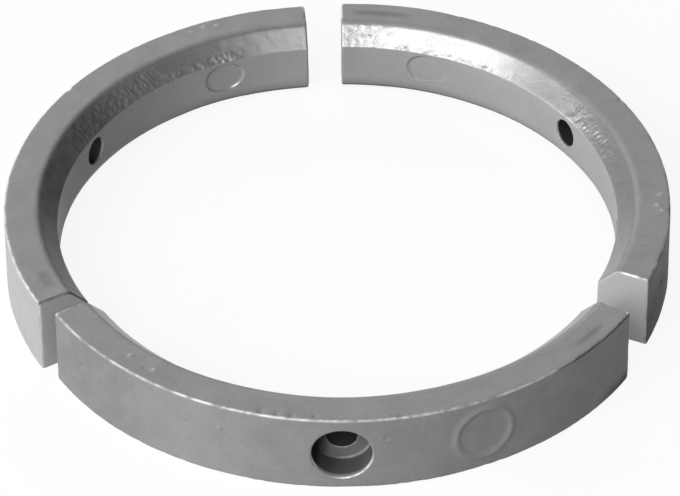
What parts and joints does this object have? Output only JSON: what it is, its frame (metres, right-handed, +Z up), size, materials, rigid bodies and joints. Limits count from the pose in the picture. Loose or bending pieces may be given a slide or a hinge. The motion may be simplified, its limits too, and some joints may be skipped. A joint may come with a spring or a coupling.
{
  "type": "sacrificial anode ring set",
  "caption": "Split-ring sacrificial anode for a propeller hub: equal cast arc segments, each with a counterbored radial screw hole and a chamfered inner edge.",
  "frame": {"origin": "middle of the laid-out set's footprint, on the face the segments rest on", "axes": "+Z up along the ring's axis; -Y towards the middle of the front segment"},
  "size_m": [0.1256, 0.1252, 0.0156],
  "materials": {
    "cast_anode_alloy": "matt, as cast zinc alloy"
  },
  "bodies": {
    "root": {"front_segment": "cast_anode_alloy", "right_segment": "cast_anode_alloy", "left_segment": "cast_anode_alloy"}
  },
  "joints": []
}
